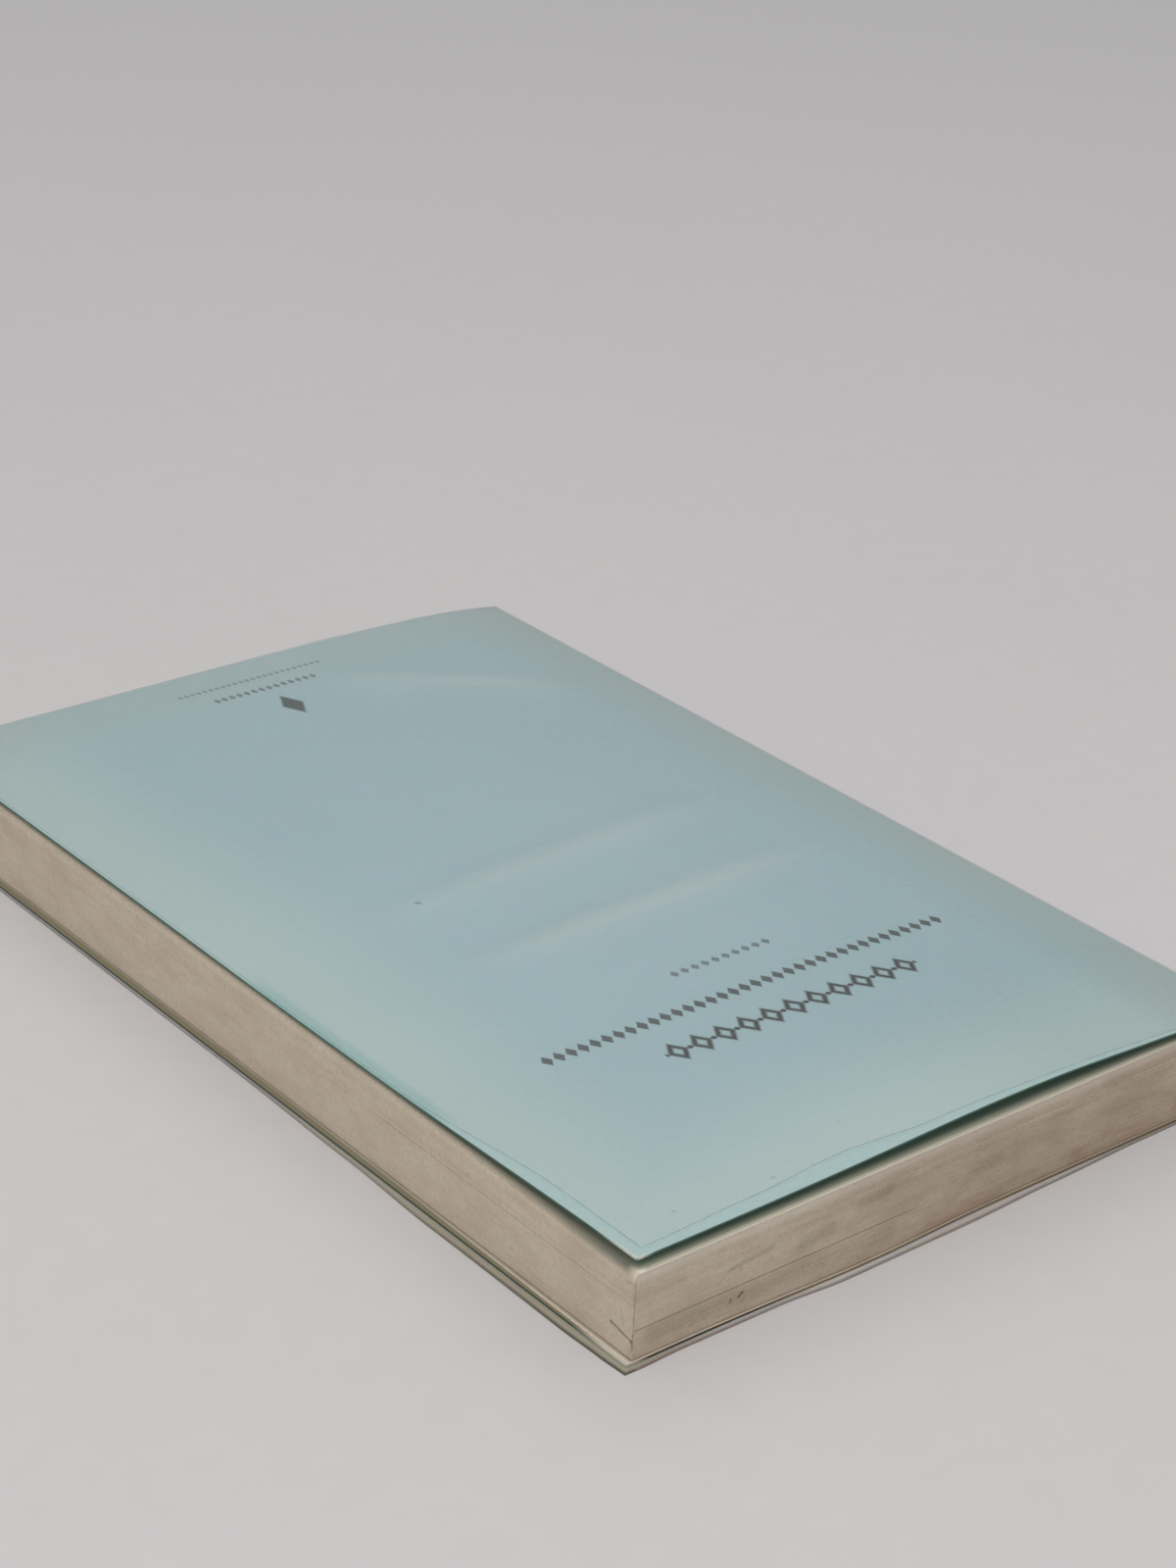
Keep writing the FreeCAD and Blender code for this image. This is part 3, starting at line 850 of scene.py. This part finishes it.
def leafStack(paper):
    # Loose leaves in a stack: one box is laid down a leaf's thickness higher each time, squeezed over
    # the fall to the spine, and pushed in or out a little so that the cut edges aren't perfect
    tree = bpy.data.node_groups.new("leafStack", "GeometryNodeTree")
    tree.interface.new_socket("Stack", in_out="OUTPUT", socket_type="NodeSocketGeometry")
    names = ("leaves", "thickness", "bottom", "spineAcross", "foreAcross", "tailAlong", "headAlong",
             "roundLength", "spineDrop", "scatter", "drift", "ripple", "topRadius",
             "foreRoundTall", "foreRoundDeep", "grooveDepth", "ledgeDepth", "lastFore", "lastHead", "seed")
    sizes = {name: pages[name] for name in names}
    sizes["splay"] = cover["splay"]
    for name in sizes:
        kind = "NodeSocketInt" if name in ("leaves", "seed") else "NodeSocketFloat"
        tree.interface.new_socket(name, in_out="INPUT", socket_type=kind)
    add = partial(addNode, tree)
    given = add("NodeGroupInput").outputs
    leaf = add("GeometryNodeMeshCube", [(1.0, 1.0, 1.0), 15, 5, 2])
    spots = add("GeometryNodePoints", [given["leaves"]])
    laid = add("GeometryNodeInstanceOnPoints", {"Points": spots, "Instance": leaf})
    order = add("GeometryNodeInputIndex")
    laid = add("GeometryNodeStoreNamedAttribute", {"Geometry": laid, "Name": "leafNumber", "Value": order},
               data_type="FLOAT", domain="INSTANCE")
    real = add("GeometryNodeRealizeInstances", [laid])
    number = add("GeometryNodeInputNamedAttribute", ["leafNumber"], data_type="FLOAT")
    shape = add("GeometryNodeInputPosition")
    shape = add("VectorMath.ADD", [shape, (0.5, 0.5, 0.5)])
    shape = add("SeparateXYZ", [shape])
    wide, long, thick = shape.outputs

    # Height of the point before the fall to the spine, as a share of the stack
    inLeaf = add("Math.MULTIPLY_ADD", [thick, pages["leafShare"], number])
    share = add("Math.DIVIDE", [inLeaf, given["leaves"]])
    depth = add("Math.SUBTRACT", [1.0, share])
    depth = add("Math.MULTIPLY", [depth, given["thickness"]])

    # Leaf by leaf scatter, a slow drift through the stack and a ripple along each edge
    chance = add("FunctionNodeRandomValue", {"ID": number, "Seed": given["seed"]}, data_type="FLOAT")
    chance = chance.outputs[1]
    scatter = add("Math.MULTIPLY", [chance, given["scatter"]])
    slow = add("Math.MULTIPLY", [number, pages["driftPace"]])
    drift = add("TexNoise", {"W": slow, "Scale": 1.0, "Detail": 3.0}, noise_dimensions="1D")
    drift = add("Math.MULTIPLY_ADD", [drift, given["drift"], scatter])
    quick = add("Math.MULTIPLY", [number, pages["ripplePace"]])
    spot = add("CombineXYZ", [wide, long, quick])
    ripple = add("TexNoise", {"Vector": spot, "Scale": 3.0, "Detail": 2.0})
    loose = add("Math.MULTIPLY_ADD", [ripple, given["ripple"], drift])

    # The top edge is rounded, tight at the head and in a flatter curve along the fore-edge
    headRound = roundedEdge(add, depth, given["topRadius"], given["topRadius"])
    foreRound = roundedEdge(add, depth, given["foreRoundTall"], given["foreRoundDeep"])
    common = add("Math.ADD", [loose, headRound])
    foreLoose = add("Math.ADD", [loose, foreRound])

    # The grooves, the ledge of the top group and the proud last leaf
    lower = add("Math.COMPARE", [number, pages["lowerLeaf"], 0.5])
    upper = add("Math.COMPARE", [number, pages["upperLeaf"], 0.5])
    ledge = add("Math.GREATER_THAN", [number, pages["ledgeLeaf"] - 0.5])
    last = add("Math.LESS_THAN", [number, 0.5])
    second = add("Math.COMPARE", [number, 1.5, 1.0])
    second = add("Math.MULTIPLY", [second, given["grooveDepth"]])
    foreLoose = add("Math.ADD", [foreLoose, second])
    common = add("Math.ADD", [common, second])
    alongHead = add("MapRange", [wide, *pages["lowerFade"]])
    alongFore = add("MapRange", [long, *pages["upperFade"]])
    fromFore = add("Math.SUBTRACT", [1.0, wide])
    lower = add("Math.MULTIPLY", [lower, alongHead])
    upper = add("Math.MULTIPLY", [upper, alongFore])
    ledge = add("Math.MULTIPLY", [ledge, fromFore])
    ledge = add("Math.MULTIPLY", [ledge, given["ledgeDepth"]])
    headIn = add("Math.MULTIPLY_ADD", [lower, given["grooveDepth"], common])
    headIn = add("Math.ADD", [headIn, ledge])
    foreIn = add("Math.MULTIPLY_ADD", [upper, given["grooveDepth"], foreLoose])
    headOut = add("Math.MULTIPLY", [last, given["lastHead"]])
    headOut = add("Math.MULTIPLY", [headOut, wide])
    foreOut = add("Math.MULTIPLY", [last, given["lastFore"]])
    skewed = add("MapRange", [long, *pages["lastSkew"]])
    foreOut = add("Math.MULTIPLY", [foreOut, skewed])

    # Across, closer at the spine, along and height
    foreEnd = add("Math.SUBTRACT", [given["foreAcross"], foreIn])
    foreEnd = add("Math.ADD", [foreEnd, foreOut])
    width = add("Math.SUBTRACT", [foreEnd, given["spineAcross"]])
    spread = add("Math.POWER", [wide, pages["crowding"]])
    across = add("Math.MULTIPLY_ADD", [width, spread, given["spineAcross"]])
    headEnd = add("Math.SUBTRACT", [given["headAlong"], headIn])
    headEnd = add("Math.ADD", [headEnd, headOut])
    # The lower leaves splay out in the middle of the head
    beside = add("Math.SUBTRACT", [across, cover["splayCentre"]])
    beside = add("Math.DIVIDE", [beside, cover["splaySpread"]])
    beside = add("Math.MULTIPLY", [beside, beside])
    beside = add("Math.MULTIPLY", [beside, -1.0])
    beside = add("Math.EXPONENT", [beside])
    low = add("MapRange.SMOOTHERSTEP", [share, 0.0, pages["splayTall"], given["splay"], 0.0])
    splay = add("Math.MULTIPLY", [beside, low])
    headEnd = add("Math.ADD", [headEnd, splay])
    tailEnd = add("Math.ADD", [given["tailAlong"], common])
    length = add("Math.SUBTRACT", [headEnd, tailEnd])
    along = add("Math.MULTIPLY_ADD", [length, long, tailEnd])
    short = add("Math.SUBTRACT", [given["roundLength"], across])
    short = add("Math.MAXIMUM", [short, 0.0])
    short = add("Math.DIVIDE", [short, given["roundLength"]])
    short = add("Math.MULTIPLY", [short, short])
    fall = add("Math.MULTIPLY", [short, given["spineDrop"]])
    tallHere = add("Math.SUBTRACT", [given["thickness"], fall])
    height = add("Math.MULTIPLY_ADD", [share, tallHere, given["bottom"]])
    point = add("CombineXYZ", [across, along, height])
    point = add("VectorMath.ADD", [point, (spineX, tailY, 0.0)])
    point = add("VectorMath.SCALE", {0: point, "Scale": mm})
    moved = add("GeometryNodeSetPosition", {"Geometry": real, "Position": point})
    toned = add("GeometryNodeStoreNamedAttribute", {"Geometry": moved, "Name": "leafTone", "Value": chance},
                data_type="FLOAT", domain="POINT")
    dressed = add("GeometryNodeSetMaterial", {"Geometry": toned, "Material": paper})
    add("NodeGroupOutput", [dressed])
    return tree, sizes


def bookPaper():
    # Uncoated wood-containing book paper, guillotined: matt, cream on the face of a leaf, and on the cut
    # edges toned brown by air and handling, with the leaves showing as fine level streaks
    material, add = newMaterial("uncoatedBookPaper")
    spot = add("TexCoord").outputs["Object"]
    spot = add("VectorMath.SCALE", {0: spot, "Scale": 1.0 / mm})
    spot = add("VectorMath.SUBTRACT", [spot, (spineX, tailY, 0.0)])
    across, along, height = add("SeparateXYZ", [spot]).outputs
    level = add("VectorMath.MULTIPLY", [spot, pages["streak"]])
    streak = add("TexNoise", {"Vector": level, "Scale": 1.0, "Detail": 3.0, "Roughness": 0.6})
    broad = add("VectorMath.MULTIPLY", [spot, pages["cloud"]])
    cloud = add("TexNoise", {"Vector": broad, "Scale": 1.0, "Detail": 5.0, "Roughness": 0.6})
    tone = add("Attribute", attribute_name="leafTone").outputs["Fac"]
    lines = add("Math.MULTIPLY_ADD", [tone, pages["leafContrast"], streak])
    lines = add("MapRange", [lines, *pages["streakBand"]])
    stain = add("MapRange", [cloud, *pages["stainBand"]])
    grit = add("TexNoise", {"Vector": spot, "Scale": pages["grit"], "Detail": 4.0, "Roughness": 0.75})
    grit = add("MapRange", [grit, *pages["gritBand"]])
    # The head is soiled by dust, more towards the spine
    onHead = add("MapRange", [along, *pages["headBand"]])
    dusty = add("MapRange.SMOOTHSTEP", [across, *pages["dustBand"]])
    low = add("MapRange.SMOOTHSTEP", [height, *pages["lowDust"]])
    dusty = add("Math.ADD", [dusty, low])
    blotch = add("MapRange", [cloud, *pages["blotchBand"]])
    dusty = add("Math.MULTIPLY", [dusty, blotch])
    dusty = add("Math.MULTIPLY", [dusty, onHead])
    # The head is lighter towards the top, and its rounded top leaves get a painted highlight
    topAndHighlight = add("MapRange.SMOOTHSTEP", [height, *pages["lighterTopBand"]])
    rounding = add("MapRange", [height, *pages["roundBand"]])
    atCorner = add("MapRange", [across, *pages["cornerBand"]])
    rounding = add("Math.MULTIPLY", [rounding, atCorner])
    topAndHighlight = add("Math.MAXIMUM", [topAndHighlight, rounding])
    topAndHighlight = add("Math.MULTIPLY", [topAndHighlight, onHead])
    # Painted highlight: the proud last leaf is lighter
    lastLeaf = add("Math.LESS_THAN", [height, pages["lastBelow"]])
    lastLeaf = add("Math.MULTIPLY", [lastLeaf, pages["lastShare"]])
    # Painted shade: a faint greenish rim on the first page under the cover's edge, for the light that the
    # cover's inside bounces there
    foreGap = add("Math.SUBTRACT", [pages["foreAcross"], across])
    headGap = add("Math.SUBTRACT", [pages["headAlong"], along])
    inset = add("Math.MINIMUM", [foreGap, headGap])
    bounceShade = add("MapRange.SMOOTHSTEP", [inset, *pages["bounceShadeBand"]])
    faded = add("MapRange.SMOOTHSTEP", [inset, *pages["bounceShadeFade"]])
    bounceShade = add("Math.MULTIPLY", [bounceShade, faded])
    page = painted(add, pages["faceTone"], (bounceShade, pages["bounceShade"]))
    # The first page's face, all but its rounded rim
    way = add("NewGeometry").outputs["Normal"]
    up = add("SeparateXYZ", [way]).outputs[2]
    up = add("Math.ABSOLUTE", [up])
    face = add("Math.GREATER_THAN", [up, 0.5])
    inwards = add("MapRange", [across, *pages["faceBand"]])
    onTop = add("Math.GREATER_THAN", [height, pages["faceAbove"]])
    face = add("Math.MULTIPLY", [face, inwards])
    face = add("Math.MULTIPLY", [face, onTop])
    colour = painted(add, pages["edgeTone"], (lines, pages["edgeDark"]),
                     (stain, pages["edgeDark"]), (grit, linear(pages["edgeDark"], 0.85)),
                     (dusty, pages["dust"]), (topAndHighlight, pages["highlightTone"]),
                     (lastLeaf, pages["highlightTone"]), (face, page))
    uneven = add("TexNoise", {"Vector": spot, "Scale": pages["uneven"], "Detail": 3.0})
    uneven = add("MapRange", [uneven, *pages["unevenBand"]])
    head, fore = pages["headAlong"], pages["foreAcross"]
    marksAndShade = [((a, head, b), (c, head, d), width, dark) for a, b, c, d, width, dark in pages["headMarksAndShade"]]
    marksAndShade += [((fore, a, b), (fore, c, d), width, dark) for a, b, c, d, width, dark in pages["foreMarksAndShade"]]
    # Painted shade strokes first, then the soil marks, among them painted shadow lines in the grooves
    for strokes, tint, strength in ((pages["shades"], "shade", 1.0), (marksAndShade, "soilAndShade", uneven)):
        for start, end, width, dark in strokes:
            stroke = strokeMask(add, spot, start, end, width)
            stroke = add("Math.MULTIPLY", [stroke, dark])
            stroke = add("Math.MULTIPLY", [stroke, strength])
            colour = painted(add, colour, (stroke, pages[tint]))
    bump = add("Bump", {"Height": streak, "Strength": 0.35, "Distance": 0.03 * mm})
    paper = add("BsdfPrincipled", {"Base Color": colour, "Roughness": 0.85, "IOR": 1.45, "Normal": bump})
    add("OutputMaterial", [paper])
    return material


def makePages():
    tree, sizes = leafStack(bookPaper())
    holder = bpy.data.objects.new("leafHolder", bpy.data.meshes.new("leafHolder"))
    bpy.context.collection.objects.link(holder)
    modifier = holder.modifiers.new("leafStack", "NODES")
    modifier.node_group = tree
    for item in tree.interface.items_tree:
        if item.in_out == "INPUT":
            modifier[item.identifier] = sizes[item.name]
    graph = bpy.context.evaluated_depsgraph_get()
    graph.update()
    whole = holder.evaluated_get(graph)
    solid = bpy.data.meshes.new_from_object(whole, preserve_all_data_layers=True, depsgraph=graph)
    solid.name = "pageStack"
    bpy.data.objects.remove(holder)
    stack = bpy.data.objects.new("pageStack", solid)
    bpy.context.collection.objects.link(stack)
    return stack


pageStack = makePages()
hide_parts("text_block")
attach(pageStack, "book")
print("pages stacked:", len(pageStack.data.polygons), "faces")

# The glue in the spine
glue = {"tone": "#cbbf9f", "grain": 1.2}


def hotMelt():
    # Hot-melt binding glue: a yellowish wax-like layer, half glossy and a little lumpy
    material, add = newMaterial("hotMeltGlue")
    spot = add("TexCoord").outputs["Object"]
    lump = add("TexNoise", {"Vector": spot, "Scale": 1.0 / (glue["grain"] * mm), "Detail": 3.0})
    share = add("MapRange", [lump, 0.3, 0.7, 0.0, 1.0])
    colour = painted(add, glue["tone"], (share, linear(glue["tone"], 0.8)))
    bump = add("Bump", {"Height": lump, "Strength": 0.3, "Distance": 0.05 * mm})
    wax = add("BsdfPrincipled", {"Base Color": colour, "Roughness": 0.42, "IOR": 1.48, "Normal": bump})
    add("OutputMaterial", [wax])
    return material


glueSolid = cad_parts["spine_glue"]
glueLook = hotMelt()
for slot in glueSolid.material_slots:
    slot.material = glueLook

# The sheets' transforms are baked into their meshes
for piece in (frontCard, frontFilm):
    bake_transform(piece)
for piece in (backCard, backFilm):
    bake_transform(piece)
